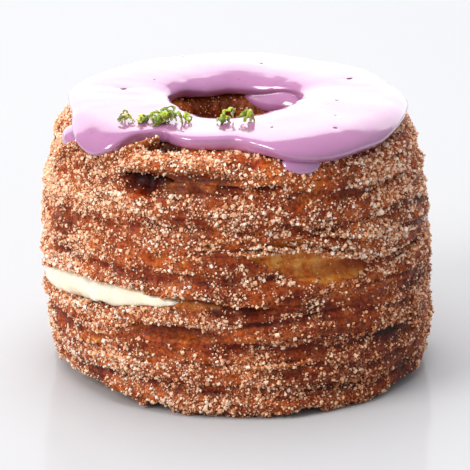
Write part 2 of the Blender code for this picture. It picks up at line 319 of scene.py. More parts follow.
def seam_height(index, theta):
    own_waves = [(turns, height, step * index) for turns, height, step in SEAM_WAVES]
    return SEAM_HEIGHTS[index] + waves(theta, own_waves)


def seam_cut(theta, z):
    """Depth of the groove at the nearest seam."""
    depth = np.zeros(np.broadcast(theta, z).shape)
    for index in range(len(SEAM_HEIGHTS)):
        above = (z - seam_height(index, theta)) / SEAM_HALF
        fall = np.where(above > 0, above, -above / SEAM_UNDERCUT)
        sway, length = SEAM_FADE
        strength = SEAM_STRENGTH + sway * ring_noise(theta, 0.0, length, 7.0 * index)
        depth = np.maximum(depth, SEAM_DEPTH * strength * np.exp(-fall * fall))
    return depth


def wall_radius(theta, z):
    """Radius of the dough's outer wall, without its pockets and fine relief."""
    lean = BASE_LEAN * np.cos(theta) * (1 - 2 * z / DOUGH_HEIGHT)
    barrel = BARREL * np.sin(np.pi * np.clip(z / DOUGH_HEIGHT, 0, 1))
    for middle, half_angle, deep in DRAWN_IN:
        share = dome(np.degrees(theta), middle, half_angle)
        barrel = barrel - deep * share * smooth(*DRAWN_IN_HEIGHTS, z)
    return OUTER_RADIUS + barrel + lean + lumps(theta, z, WALL_LUMPS) - seam_cut(theta, z)


def hole_radius(theta, z):
    belly = HOLE_BELLY * np.sin(np.pi * z / DOUGH_HEIGHT)
    return HOLE_RADIUS - belly + lumps(theta, z, HOLE_LUMPS)


def top_height(theta, radius):
    return DOUGH_HEIGHT + lumps(theta, radius, TOP_LUMPS)


def to_points(theta, radius, z):
    """Points at angles and radii about the ring's own axis, as an array that ends in 3."""
    theta, radius, z = np.broadcast_arrays(theta, radius, z)
    x = AXIS_SHIFT[0] + radius * np.cos(theta)
    y = AXIS_SHIFT[1] + radius * np.sin(theta)
    return np.stack([x, y, z], axis=-1)


def turn_angles(count):
    """Angles all the way round, as a column."""
    return np.linspace(0, 2 * np.pi, count, endpoint=False)[:, None]


# --- mesh helpers


def link_mesh(name, mesh):
    """Puts a mesh in the scene as an object."""
    made = bpy.data.objects.new(name, mesh)
    bpy.context.scene.collection.objects.link(made)
    return made


def new_object(name, vertices, faces, fields, flat=False):
    """A mesh object from an array of points and a list of faces. fields are named numbers, one for
    each vertex."""
    mesh = bpy.data.meshes.new(name)
    mesh.from_pydata(vertices.reshape(-1, 3).tolist(), [], faces)
    for field, values in fields.items():
        attribute = mesh.attributes.new(field, "FLOAT", "POINT")
        attribute.data.foreach_set("value", np.asarray(values, np.float32).ravel())
    mesh.update()
    if not flat:
        mesh.shade_smooth()
    return link_mesh(name, mesh)


def grid_faces(columns, rows, closed_columns=True):
    """Quads of a grid of columns, whose rows close on themselves."""
    last = columns if closed_columns else columns - 1
    column, row = np.meshgrid(np.arange(last), np.arange(rows), indexing="ij")
    after, up = (column + 1) % columns, (row + 1) % rows
    corners = [column * rows + row, after * rows + row, after * rows + up, column * rows + up]
    return np.stack(corners, axis=-1).reshape(-1, 4)


def ribbon_object(name, sheets, fields):
    """One mesh from several closed strips. Each sheet is (points, named fields), its points an
    array of columns by rows by 3, and its two end columns are capped."""
    vertices, faces, values, start = [], [], {field: [] for field in fields}, 0
    for points, own in sheets:
        columns, rows = points.shape[:2]
        vertices.append(points.reshape(-1, 3))
        faces += (grid_faces(columns, rows, closed_columns=False) + start).tolist()
        first = [start + row for row in range(rows)]
        last = [start + (columns - 1) * rows + row for row in range(rows)]
        faces += [first, last[::-1]]
        for field in fields:
            values[field].append(np.broadcast_to(own[field], (columns, rows)).ravel())
        start += columns * rows
    joined = {field: np.concatenate(own) for field, own in values.items()}
    made = new_object(name, np.concatenate(vertices), faces, joined)
    # Each closed shell is turned so that its faces point out.
    shell = bmesh.new()
    shell.from_mesh(made.data)
    bmesh.ops.recalc_face_normals(shell, faces=shell.faces)
    shell.to_mesh(made.data)
    shell.free()
    made.data.shade_smooth()
    return made


# --- the dough


def cream_middle(angle):
    """Height of the middle of the cream at an angle in degrees."""
    dip = bell(angle, CREAM_DIP_SIDE, CREAM_DIP_WIDTH)
    sway = np.cos(np.radians(angle - CREAM_HIGH_SIDE))
    return CREAM_LEVEL + CREAM_SWAY * sway - CREAM_DIP * dip


def split_share(angle):
    """How open the split is, from 1 at its middle to 0 at its pointed ends."""
    away = degrees_between(angle, SPLIT_MIDDLE)
    half = np.where(away > 0, SPLIT_FRONT, SPLIT_BACK)
    return np.clip(1 - (away / half) ** 2, 0, 1)


def split_half(theta):
    """Half the height of the split, a little ragged."""
    angle = np.degrees(theta)
    ragged = 1 + 0.25 * ring_noise(theta, 0.0, 3.5 * MM, 71.0)
    return CREAM_SPLIT_HALF * split_share(angle) ** 0.8 * ragged


def pocket_fields(theta, z):
    """Depth, clearness, gold and painted shade of the pockets, and how their lips push out and
    down.
    """
    shape = np.broadcast(theta, z).shape
    depth, clear, gold, painted_darkening, lip, droop = (np.zeros(shape) for _ in range(6))
    ragged = ring_noise(theta, z, 3.2 * MM, 81.0)
    for middle, height, half_angle, half_height, deep, climb, own_clear, own_gold in POCKETS:
        away = degrees_between(np.degrees(theta), middle) / half_angle
        open_share = np.clip(1 - away * away, 0, 1)
        half = half_height * (open_share**0.65) * (1 + 0.35 * ragged) + 1e-6
        centre = height + climb * away * half_angle
        across = (z - centre) / half
        # The roof of a pocket is steep, and its floor slopes out.
        roof = smooth(1.0, 0.72, across)
        floor = smooth(-1.25, -0.1, across)
        inside = roof * floor * open_share**0.4
        opened = smooth(0.05, 0.4, inside)
        depth = np.maximum(depth, deep * inside)
        clear = np.maximum(clear, own_clear * opened)
        gold = np.maximum(gold, own_gold * opened)
        # Painted shade in a pocket: strongest deep under its roof, weaker in golden pockets
        in_light = 0.9 - 0.75 * own_gold
        under_roof = in_light + (1 - in_light) * smooth(-0.5, 0.7, across)
        painted_darkening = np.maximum(painted_darkening, inside * under_roof * deep / FULL_SHADE_DEPTH)
        edge = hump(across, 1.35, 0.5) * open_share**0.5
        lip = np.maximum(lip, POCKET_LIP * edge)
        droop = np.maximum(droop, POCKET_DROOP * edge)
    return depth, clear, gold, painted_darkening, lip, droop


def side_relief(theta, z, w):
    """Relief of the outer side: push along the normal, drop in height, and the looks' fields.

    w is the height, carried on over the shoulder as distance along the surface.
    """
    tilt = LEAF_TILT[0] * np.sin(theta + LEAF_TILT[1])
    leaves, ledges = 0.0, 0.0
    for pitch, deep, wander, length, seed in LEAVES:
        warp = wander * ring_noise(theta, w, length, seed, stretch=1.6)
        leaf = (w + warp + tilt) / pitch
        part = leaf - np.floor(leaf)
        ledge = smooth(0.0, 0.16, part) * (1 - part) ** 0.8
        strength = 0.55 + 1.1 * ring_noise(theta, w, length, seed + 4, stretch=1.5)
        strength = np.clip(strength, 0.05, 1.3)
        leaves = leaves + deep * strength * (ledge - LEDGE_MEAN)
        ledges = ledges + 0.5 * strength * (ledge - LEDGE_MEAN)
    push = leaves + lumps(theta, w, CRUST_LUMPS)

    depth, clear, bare, painted_darkening, lip, droop = pocket_fields(theta, w)
    angle = np.degrees(theta)

    # The split for the cream
    half = split_half(theta)
    across = (w - cream_middle(angle)) / np.maximum(half, 0.02 * MM)
    split = smooth(1.12, 0.92, np.abs(across)) * smooth(0.0, 0.04, split_share(angle))
    edge = hump(np.abs(across), 1.35, 0.35) * smooth(0.0, 0.3, split_share(angle))

    # The foot
    tuck = np.zeros(push.shape)
    for middle, half_angle, deep, tall in TUCKS:
        low = np.clip(1 - z / tall, 0, 1) ** 2
        tuck = np.maximum(tuck, deep * dome(angle, middle, half_angle) * low)
    middle, half_angle, reach, level, spread = BULGE
    bulge = reach * dome(angle, middle, half_angle) * hump(z, level, spread)
    gap = np.zeros(push.shape)
    for middle, half_angle in FOOT_GAPS:
        gap = np.maximum(gap, dome(angle, middle, half_angle))
    gap = FOOT_GAP_DEPTH * gap * smooth(FOOT_GAP_HEIGHT, 0.3 * FOOT_GAP_HEIGHT, z)
    middle, level, half_angle, half_height, deep = PIT
    away, above = degrees_between(angle, middle) / half_angle, (w - level) / half_height
    pit = np.exp(-(away**2) - above**2)
    gap = np.maximum(gap, deep * pit)

    inside = np.clip(depth / (3 * MM) + split, 0, 1)
    push = push * (1 - 0.85 * inside) + lip + 0.3 * MM * edge
    push = push + bulge - depth - SPLIT_DEPTH * split - tuck - gap

    groove = seam_cut(theta, z) / SEAM_DEPTH
    # Painted shade: darker under the pockets' roofs, in the seams' grooves, in the pit, low on the
    # right away from the key light, in the leaves' hollows and in the gaps at the foot
    painted_shade = np.clip(painted_darkening, 0, 1) + 0.45 * np.clip(groove, 0, 1) + pit
    painted_shade = painted_shade + 0.42 * bell(angle, 325.0, 42.0) * smooth(36 * MM, 14 * MM, w)
    painted_shade = painted_shade + 0.6 * smooth(0.05 * MM, -0.40 * MM, leaves) + 0.5 * (gap > 0.4 * MM)
    sugar = sugar_density(theta, w) + 0.45 * ledges - 0.25 * groove
    sugar = sugar + 0.55 * edge + 0.3 * lip / POCKET_LIP
    sugar = sugar * (1 - 0.97 * clear) * (1 - split) * (1 - np.clip(1.3 * pit, 0, 1))
    sugar = sugar * (1 - 0.9 * np.clip(tuck / (2.5 * MM), 0, 1))
    bare = np.maximum(bare, 0.6 * smooth(0.6 * MM, 2.0 * MM, tuck))
    fields = {"bare": bare, "painted_shade": np.clip(painted_shade, 0, 1), "sugar": np.clip(sugar, 0, 1)}
    return push, droop, fields


def sugar_density(theta, w):
    """How thickly the sugar lies, from 0 to 1, in soft patches."""
    angle = np.degrees(theta)
    broad = 0.24 * ring_noise(theta, w, 22 * MM, 91.0)
    broad = broad + 0.72 * ring_noise(theta, w, 7 * MM, 95.0, stretch=1.5)
    fine = 0.95 * ring_noise(theta, w, 1.8 * MM, 97.0)
    front = bell(angle, 262.0, 34.0) * smooth(46 * MM, 36 * MM, w) * smooth(10 * MM, 22 * MM, w)
    low_right = bell(angle, 318.0, 34.0) * smooth(34 * MM, 20 * MM, w)
    high_left = bell(angle, 208.0, 30.0) * smooth(26 * MM, 38 * MM, w)
    density = SUGAR_MEAN + broad + fine - 0.26 * front + 0.04 * bell(angle, 330.0, 26.0)
    return density - 0.20 * low_right + 0.36 * high_left


def section_normals(radius, z):
    """Outward normals of closed outlines in the (radius, z) plane, one outline to a column."""
    along_r = np.roll(radius, -1, axis=1) - np.roll(radius, 1, axis=1)
    along_z = np.roll(z, -1, axis=1) - np.roll(z, 1, axis=1)
    length = np.hypot(along_r, along_z) + 1e-9
    return along_z / length, -along_r / length


def make_dough():
    """The flaky dough ring."""
    theta = turn_angles(DOUGH_COLUMNS)
    outline = []

    def add(kind, radius, height):
        outline.append((kind, *np.broadcast_arrays(radius, height)))

    inner = hole_radius(theta, LIP_ROUND) + LIP_ROUND
    outer = wall_radius(theta, BASE_ROUND) - BASE_ROUND
    add("base", inner + (outer - inner) * steps(0, 1, 4), 0.0)
    turn = steps(0, np.pi / 2, FOOT_ROWS)
    add("side", outer + BASE_ROUND * np.sin(turn), BASE_ROUND * (1 - np.cos(turn)))
    z = steps(BASE_ROUND, WALL_TOP, WALL_ROWS)
    add("side", wall_radius(theta, z), z)

    turn = steps(0, np.pi / 2, SHOULDER_ROWS)
    radius = wall_radius(theta, WALL_TOP) - SHOULDER_ROUND * (1 - np.cos(turn))
    add("side", radius, WALL_TOP + (top_height(theta, radius) - WALL_TOP) * np.sin(turn))
    shoulder = wall_radius(theta, WALL_TOP) - SHOULDER_ROUND
    radius = shoulder - BROW_WIDTH * steps(0, 1, BROW_ROWS)
    add("side", radius, top_height(theta, radius))
    shoulder = shoulder - BROW_WIDTH
    lip_foot = DOUGH_HEIGHT - LIP_ROUND
    lip_radius = hole_radius(theta, lip_foot) + LIP_ROUND
    radius = shoulder + (lip_radius - shoulder) * steps(0, 1, 4)
    add("top", radius, top_height(theta, radius))

    turn = steps(0, np.pi / 2, 6)
    radius = lip_radius - LIP_ROUND * np.sin(turn)
    add("hole", radius, lip_foot + (top_height(theta, radius) - lip_foot) * np.cos(turn))
    z = steps(lip_foot, LIP_ROUND, 14)
    add("hole", hole_radius(theta, z), z)
    turn = steps(0, np.pi / 2, 4)
    radius = hole_radius(theta, LIP_ROUND) + LIP_ROUND * (1 - np.cos(turn))
    add("hole", radius, LIP_ROUND * (1 - np.sin(turn)))

    kinds = np.concatenate([[kind] * part.shape[1] for kind, part, _ in outline])
    radius, height = (np.concatenate([part[i] for part in outline], axis=1) for i in (1, 2))
    normal_r, normal_z = section_normals(radius, height)

    push, drop = np.zeros(radius.shape), np.zeros(radius.shape)
    fields = {field: np.zeros(radius.shape) for field in ("bare", "painted_shade", "sugar")}
    side = kinds == "side"
    carried = np.clip(height[:, side], 0, None)
    over = np.clip(wall_radius(theta, WALL_TOP) - radius[:, side], 0, None) * (carried > WALL_TOP)
    push[:, side], drop[:, side], own = side_relief(theta, carried, carried + 0.7 * over)
    for field, values in own.items():
        fields[field][:, side] = values
    hole = kinds == "hole"
    push[:, hole] = -lumps(theta, height[:, hole], HOLE_CRUST_LUMPS)
    fields["bare"][:, hole], fields["sugar"][:, hole] = HOLE_BARE, HOLE_SUGAR
    fields["bare"][:, kinds == "base"] = BASE_BARE

    radius = radius + normal_r * push
    height = np.maximum(height + normal_z * push - drop, 0.0)
    faces = grid_faces(*radius.shape).tolist()
    return new_object("dough_crust", to_points(theta, radius, height), faces, fields)


def make_flake(middle, half_angle, height, climb, out, up, thick, seed):
    """A thin leaf of pastry that stands off the side. out and up are how far its edge reaches."""
    columns = max(14, int(half_angle * 2.6))
    away = np.linspace(-1, 1, columns)[:, None]
    theta = np.radians(middle + half_angle * away)
    taper = np.clip(1 - away**2, 0, 1) ** 0.45
    ragged = lumps(theta, 0.0, ((1, 2.6 * MM, seed), (0.6, 1.1 * MM, seed + 3)))
    wavy = 0.7 * MM * ring_noise(theta, 0.0, 8 * MM, seed + 7)
    z = height + climb * away * half_angle + wavy
    over = np.clip(z - WALL_TOP, 0, None)
    wall = wall_radius(theta, np.clip(z, 0, WALL_TOP)) - over**2 / FLAKE_SHOULDER
    reach = taper * (1 + 0.5 * ragged)
    # The leaf's outline: root below, along its underside to the edge, and back over its top
    share = np.array([0.0, 0.35, 0.7, 0.93, 1.0, 0.93, 0.7, 0.35, 0.0])[None, :]
    side = np.array([-1.0, -0.9, -0.75, -0.5, 0.0, 0.5, 0.75, 0.9, 1.0])[None, :]
    half = thick * (0.35 + 0.65 * taper) * 0.5
    length = math.hypot(out + FLAKE_ROOT, up)
    across = (-up / length, (out + FLAKE_ROOT) / length)
    curl = share**2 * 0.35 * out * taper
    length = out * reach + FLAKE_ROOT * (0.4 + 0.6 * taper)
    radius = wall - FLAKE_ROOT + share * length + across[0] * half * side
    level = z + share * up * reach + across[1] * half * side + curl * np.sign(up) * 0.5
    # Painted shade, darkest at the leaf's root where it meets the dough
    fields = {"bare": 0.35, "painted_shade": np.clip(0.5 - share, 0, 1), "sugar": 0.35 + 0.6 * share}
    return to_points(theta, radius, level), fields


def make_leaf(path, root, thick, seed):
    """A leaf whose free edge runs along a path of (angle, radius, z) points, and whose root lies
    at an offset from it of (outwards, up)."""
    columns = np.array(path, float).T
    count = 30
    share = np.linspace(0, len(path) - 1, count)
    angle, radius, z = (np.interp(share, np.arange(len(path)), column) for column in columns)
    theta = np.radians(angle)[:, None]
    ragged = lumps(theta, 0.0, ((0.5 * MM, 1.6 * MM, seed), (0.4 * MM, 4 * MM, seed + 3)))
    taper = np.clip(np.sin(np.pi * np.linspace(0.04, 0.96, count)), 0, 1)[:, None] ** 0.4
    across = np.array([1.0, 0.66, 0.33, 0.08, 0.0, 0.08, 0.33, 0.66, 1.0])[None, :]
    side = np.array([-1.0, -1.0, -0.9, -0.6, 0.0, 0.6, 0.9, 1.0, 1.0])[None, :]
    length = math.hypot(*root)
    half = thick / 2 * taper * side
    out = radius[:, None] + root[0] * across + ragged + half * root[1] / length
    level = z[:, None] + root[1] * across + ragged - half * root[0] / length
    # Painted shade, darker towards the root where the leaf meets the dough
    fields = {"bare": 0.2, "painted_shade": 0.5 * across, "sugar": 0.7 - 0.5 * across}
    return to_points(theta, out, level), fields


def make_flakes():
    """The leaves that show, listed one by one, and smaller ones scattered all round."""
    sheets = [make_flake(*leaf, FLAKE_SEEDS[0] + 13 * i) for i, leaf in enumerate(FLAKES)]
    sheets += [make_leaf(*leaf, FLAKE_SEEDS[1] + 11 * i) for i, leaf in enumerate(LEAF_PATHS)]
    rng = np.random.default_rng(11)
    for index in range(SCATTERED_FLAKES):
        middle = 360 * (index + rng.random()) / SCATTERED_FLAKES
        height = (4 + 46 * rng.random()) * MM
        from_cream = abs(height - float(cream_middle(middle)))
        if from_cream < CREAM_CLEARANCE and float(split_share(middle)) > 0:
            continue
        out = rng.uniform(0.3, 0.8) * MM
        up = rng.uniform(-0.9, 0.7) * MM
        half_angle, climb = rng.uniform(5, 14), rng.uniform(-0.12, 0.1) * MM
        thick = rng.uniform(0.35, 0.6) * MM
        seed = FLAKE_SEEDS[2] + 17 * index
        sheets.append(make_flake(middle, half_angle, height, climb, out, up, thick, seed))
    return ribbon_object("flakes", sheets, ("bare", "painted_shade", "sugar"))


def make_cream():
    """The band of cream that fills the split."""
    first, last = SPLIT_MIDDLE - SPLIT_BACK + 0.6, SPLIT_MIDDLE + SPLIT_FRONT - 0.6
    angle = np.linspace(first, last, 260)[:, None]
    theta = np.radians(angle)
    middle = cream_middle(angle)
    half = split_half(theta) * 1.04 + 0.15 * MM
    turn = steps(0, 2 * np.pi, 28)
    across = np.sin(turn)
    face = wall_radius(theta, middle) - CREAM_SET_BACK
    back = face - SPLIT_DEPTH + 0.8 * MM
    depth_middle, depth_half = (face + back) / 2, (face - back) / 2
    bulge = np.sign(np.cos(turn)) * np.abs(np.cos(turn)) ** 0.45
    ends = smooth(0.0, 0.12, split_share(angle))
    z = middle + half * np.sign(across) * np.abs(across) ** 0.8
    radius = depth_middle + depth_half * bulge * (0.7 + 0.3 * ends)
    outside = smooth(0.0, 0.8, np.cos(turn))
    ripples = lumps(theta, z, CREAM_LUMPS)
    radius = radius + outside * (ripples - (1 - ends) * 0.8 * MM)
    edge = np.abs(across) ** 4
    sheets = [(to_points(theta, radius, z), {"edge": edge})]

    # A smear of it on the crust below
    first, last, level, tall = CREAM_SMEAR
    share = np.linspace(0, 1, 60)[:, None]
    theta = np.radians(first + (last - first) * share)
    ragged = 1 + 0.6 * ring_noise(theta, 0.0, 1.6 * MM, 311.0)
    tall = tall * (4 * share * (1 - share)) ** 0.6 * ragged
    z = level + tall * across
    radius = wall_radius(theta, level) + (0.55 * np.cos(turn) - 0.1) * MM
    sheets.append((to_points(theta, radius, z), {"edge": 0.3 * edge}))
    return ribbon_object("cream_layer", sheets, ("edge",))


# --- the icing


def around(points, angle):
    """A smooth closed curve through points of (angle, value), read at angles from 0 to 360."""
    places, values = np.array(points, float).T
    places = np.concatenate([places - 360, places, places + 360])
    values = np.tile(values, 3)
    slopes = np.gradient(values, places)
    index = np.searchsorted(places, angle, side="right") - 1
    gap = places[index + 1] - places[index]
    t = (angle - places[index]) / gap
    ends = (1 + 2 * t) * (1 - t) ** 2 * values[index] + t * t * (3 - 2 * t) * values[index + 1]
    return ends + gap * t * (1 - t) * ((1 - t) * slopes[index] - t * slopes[index + 1])


def over_dough(theta, reach):
    """The dough's surface at a distance measured out over its top: radius, z and normal."""
    lip = hole_radius(theta, DOUGH_HEIGHT - LIP_ROUND) + LIP_ROUND
    shoulder = wall_radius(theta, WALL_TOP) - SHOULDER_ROUND
    top = top_height(theta, np.clip(reach, lip, shoulder))
    out = np.clip((reach - shoulder) / SHOULDER_ROUND, 0, None)
    into = np.clip((lip - reach) / LIP_ROUND, 0, None)
    down_out = np.clip(out - np.pi / 2, 0, None)
    down_in = np.clip(into - np.pi / 2, 0, None)
    out, into = np.clip(out, 0, np.pi / 2), np.clip(into, 0, np.pi / 2)
    radius = np.clip(reach, lip, shoulder) + SHOULDER_ROUND * np.sin(out) - LIP_ROUND * np.sin(into)
    z = top - SHOULDER_ROUND * (1 - np.cos(out) + down_out)
    z = z - LIP_ROUND * (1 - np.cos(into) + down_in)
    return radius, z, np.sin(out) - np.sin(into), np.cos(out) * np.cos(into)


def power(x, exponent):
    """Signed power, for rounded-square outlines."""
    return np.sign(x) * np.abs(x) ** exponent


def make_icing():
    """The icing ring, with second lobes that have run out from under its rim."""
    theta = turn_angles(ICING_COLUMNS)
    angle = np.degrees(theta)
    outer, crest = around(ICING_REACH, angle), around(ICING_CREST, angle)
    middle = around(ICING_CREST_RADIUS, angle)
    lip = hole_radius(theta, DOUGH_HEIGHT - LIP_ROUND) + LIP_ROUND
    inner = lip - ICING_INNER_REACH + waves(theta, ICING_INNER_WAVES)
    middle = np.minimum(middle, (inner + 2 * outer) / 3)

    turn = steps(0, 2 * np.pi, ICING_ROWS)
    outside = np.cos(turn) > 0
    across_power = np.where(outside, ICING_OUTER_SQUARE[0], around(ICING_INNER_ACROSS, angle))
    up_power = np.where(outside, ICING_OUTER_SQUARE[1], around(ICING_INNER_UP, angle))
    half = np.where(outside, outer - middle, middle - inner)
    reach = middle + half * power(np.cos(turn), across_power)
    rise = power(np.sin(turn), up_power)
    lift = ICING_RIM + np.where(rise > 0, crest - ICING_RIM, ICING_RIM + ICING_SINK) * rise
    radius, z, normal_r, normal_z = over_dough(theta, reach)
    top_share = np.clip(rise, 0, 1)
    # The dough's lumps don't show through the icing's top.
    shoulder = wall_radius(theta, WALL_TOP) - SHOULDER_ROUND
    level = top_height(theta, np.clip(reach, lip, shoulder)) - DOUGH_HEIGHT
    lift = lift + top_share * (lumps(theta, reach, ICING_LUMPS) - level)

    speck, dent = np.zeros(reach.shape), np.zeros(reach.shape)
    for spot_angle, spot_radius, size in ICING_SPECKS:
        along = np.radians(degrees_between(angle, spot_angle)) * spot_radius
        near = np.exp(-((along**2 * 0.45 + (radius - spot_radius) ** 2) / size**2) * 1.6)
        speck = np.maximum(speck, near)
        dent = np.maximum(dent, near * size * 0.35)
    lift = lift - top_share * dent
    speck = speck * smooth(0.2, 0.6, top_share)

    points = to_points(theta, radius + normal_r * lift, z + normal_z * lift)
    ring = new_object("icing_ring", points, grid_faces(*reach.shape).tolist(), {"speck": speck})

    drips = bmesh.new()
    drips.from_mesh(ring.data)
    for drip in ICING_DRIPS:
        add_drip(drips, *drip)
    drips.to_mesh(ring.data)
    drips.free()
    ring.data.shade_smooth()
    return ring


def add_drip(shell, middle, reach, half_angle, half_length, height):
    """A flattened drop that follows the dough's surface."""
    made = bmesh.ops.create_uvsphere(shell, u_segments=48, v_segments=28, radius=1.0)
    for vertex in made["verts"]:
        outward, up, clockwise = vertex.co
        theta = np.array([[math.radians(middle - half_angle * clockwise)]])
        out = np.array([[reach + half_length * outward]])
        radius, z, normal_r, normal_z = over_dough(theta, out)
        lift = height * (up if up > 0 else 0.4 * up)
        vertex.co = to_points(theta, radius + normal_r * lift, z + normal_z * lift)[0, 0]
    faces = {face for vertex in made["verts"] for face in vertex.link_faces}
    bmesh.ops.recalc_face_normals(shell, faces=list(faces))


# --- sugar


# Shapes of grains: corners and faces
GRAIN_SHAPES = {
    "cube": (
        [(x, y, z) for x in (-1, 1) for y in (-1, 1) for z in (-1, 1)],
        [(0, 1, 3, 2), (4, 6, 7, 5), (0, 4, 5, 1), (2, 3, 7, 6), (0, 2, 6, 4), (1, 5, 7, 3)],
    ),
    "gem": (
        [(1, 0, 0), (-1, 0, 0), (0, 1, 0), (0, -1, 0), (0, 0, 1.2), (0, 0, -1.2)],
        [(0, 2, 4), (2, 1, 4), (1, 3, 4), (3, 0, 4), (2, 0, 5), (1, 2, 5), (3, 1, 5), (0, 3, 5)],
    ),
    "chip": (
        [(1, 0, -0.6), (-0.7, 0.9, -0.5), (-0.6, -0.9, -0.6), (0.1, 0, 1)],
        [(0, 2, 1), (0, 1, 3), (1, 2, 3), (2, 0, 3)],
    ),
}


def surface_samples(sources, count, rng, sharpness):
    """Points and normals spread over meshes in proportion to area and to their sugar field."""
    corners, normals, weights = [], [], []
    for made in sources:
        mesh = made.data
        points = np.zeros(len(mesh.vertices) * 3)
        mesh.vertices.foreach_get("co", points)
        points = points.reshape(-1, 3)
        sugar = np.zeros(len(mesh.vertices))
        mesh.attributes["sugar"].data.foreach_get("value", sugar)
        faces = [tuple(face.vertices) for face in mesh.polygons]
        quads = np.array([face for face in faces if len(face) == 4])
        own = points[quads]
        cross = np.cross(own[:, 2] - own[:, 0], own[:, 3] - own[:, 1])
        area = np.linalg.norm(cross, axis=1) / 2
        corners.append(own)
        normals.append(cross / (2 * area[:, None] + 1e-12))
        weights.append(area * np.clip(sugar[quads].mean(axis=1), 0, 1) ** sharpness)
    corners, normals, weights = map(np.concatenate, (corners, normals, weights))
    chosen = rng.choice(len(weights), size=count, p=weights / weights.sum())
    a, b = rng.random((2, count, 1))
    own = corners[chosen]
    low, high = own[:, 0] * (1 - a) + own[:, 1] * a, own[:, 3] * (1 - a) + own[:, 2] * a
    return low * (1 - b) + high * b, normals[chosen]


def random_turns(count, rng):
    """Random rotation matrices, from random unit quaternions."""
    turns = rng.normal(size=(4, count))
    w, x, y, z = turns / np.linalg.norm(turns, axis=0)
    rows = [
        [1 - 2 * (y * y + z * z), 2 * (x * y - z * w), 2 * (x * z + y * w)],
        [2 * (x * y + z * w), 1 - 2 * (x * x + z * z), 2 * (y * z - x * w)],
        [2 * (x * z - y * w), 2 * (y * z + x * w), 1 - 2 * (x * x + y * y)],
    ]
    return np.moveaxis(np.array(rows), 2, 0)


def make_grains(sources, name, shape, count, size, spread, stand, sharpness, seed, tints):
    """Loose crystals as one mesh, from a row of GRAINS."""
    corners, faces = map(np.array, GRAIN_SHAPES[shape])
    rng = np.random.default_rng(seed)
    points, normals = surface_samples(sources, count, rng, sharpness)
    widths = size * np.exp(spread * rng.normal(size=(count, 1, 1)))
    stretch = rng.uniform(0.7, 1.3, (count, 1, 3))
    jitter = 1 + rng.uniform(-0.25, 0.25, (count, len(corners), 3))
    local = corners[None] * widths / 2 * stretch * jitter
    turned = np.einsum("nij,nkj->nki", random_turns(count, rng), local)
    centres = points + normals * (widths[:, 0] * stand * rng.uniform(0.5, 1.5, (count, 1)))
    vertices = centres[:, None] + turned
    vertices[..., 2] = np.maximum(vertices[..., 2], 0.05 * MM)
    starts = np.arange(count)[:, None, None] * len(corners)
    # Browner low on the right, as painted shade on the side away from the key light; paler on the
    # left, as painted light, and more even there
    side = np.degrees(np.arctan2(centres[:, 1], centres[:, 0]))
    painted_shade_low_right = bell(side, 318.0, 42.0) * smooth(38 * MM, 14 * MM, centres[:, 2])
    painted_light_left = bell(side, 200.0, 40.0)
    tint = rng.uniform(*tints, count) - 0.28 * painted_shade_low_right + 0.05 * painted_light_left
    tint = tint + (EVEN_TINT - tint) * 0.4 * painted_light_left * smooth(26 * MM, 38 * MM, centres[:, 2])
    tint = np.repeat(np.clip(tint, 0, 1), len(corners))
    faces = (faces[None] + starts).reshape(-1, faces.shape[1]).tolist()
    return new_object(name, vertices, faces, {"tint": tint}, flat=True)


# --- zest


# Where the zest lies: angle and radius of the middle, spread along and across, number of curls
ZEST_HEAPS = in_mm((1, 2, 3), (
    (228, 30, 4.6, 1.9, 20),
    (240, 24.6, 3.6, 0.9, 10),
    (270, 22.4, 3.2, 1, 7),
))
# Ranges of a curl's radius, turns, width, pitch and lean, each with its unit
CURL_SIZES = ((0.7, 1.3, MM), (0.4, 0.9, 1), (0.8, 1.4, MM), (0.8, 3.0, MM), (-0.5, 0.5, 1))
CURL_THICK = 0.34 * MM
CURL_SINK = 0.25 * MM


def icing_surface(icing):
    """A function that gives the height of the icing's top at (x, y)."""
    tree = BVHTree.FromObject(icing, bpy.context.evaluated_depsgraph_get())

    def height(x, y):
        hit = tree.ray_cast(Vector((x, y, 0.1)), Vector((0, 0, -1)))[0]
        return hit.z if hit else DOUGH_HEIGHT + 5 * MM

    return height


def turned(a, b, angle):
    """A pair of coordinates, turned by an angle."""
    return a * math.cos(angle) - b * math.sin(angle), a * math.sin(angle) + b * math.cos(angle)


def make_curl(x, y, z, heading, radius, turns, width, pitch, lean, rng):
    """One strip of peel, curled like a spring. Its outer side is green and its inner side pale."""
    columns = int(16 + 22 * turns)
    share = np.linspace(0, 1, columns)[:, None]
    wound = 2 * np.pi * turns * (share - 0.5)
    radius = radius * (1 + 0.25 * np.sin(3 * wound + rng.uniform(0, 6)))
    along = pitch * (share - 0.5) + 0.2 * MM * np.sin(5 * wound + rng.uniform(0, 6))
    taper = np.clip(np.sin(np.pi * np.clip(share, 0.02, 0.98)), 0, 1) ** 0.5
    # The strip's cross-section: across its width, and through its thickness
    turn = steps(0, 2 * np.pi, 10)
    ragged = 1 + 0.2 * rng.uniform(-1, 1, (columns, 1))
    wide = width / 2 * taper * power(np.cos(turn), 0.7) * ragged
    ring = radius + CURL_THICK / 2 * power(np.sin(turn), 0.7)
    forward, up = turned(along + wide, ring * np.cos(wound), lean)
    forward, aside = turned(forward, ring * np.sin(wound), heading)
    points = np.stack([forward, aside, up], axis=-1)
    points = points + np.array([x, y, z - up.min() - CURL_SINK])
    return points, {"peel": np.clip(0.5 + 0.6 * np.sin(turn), 0, 1), "tint": rng.uniform(0, 1)}


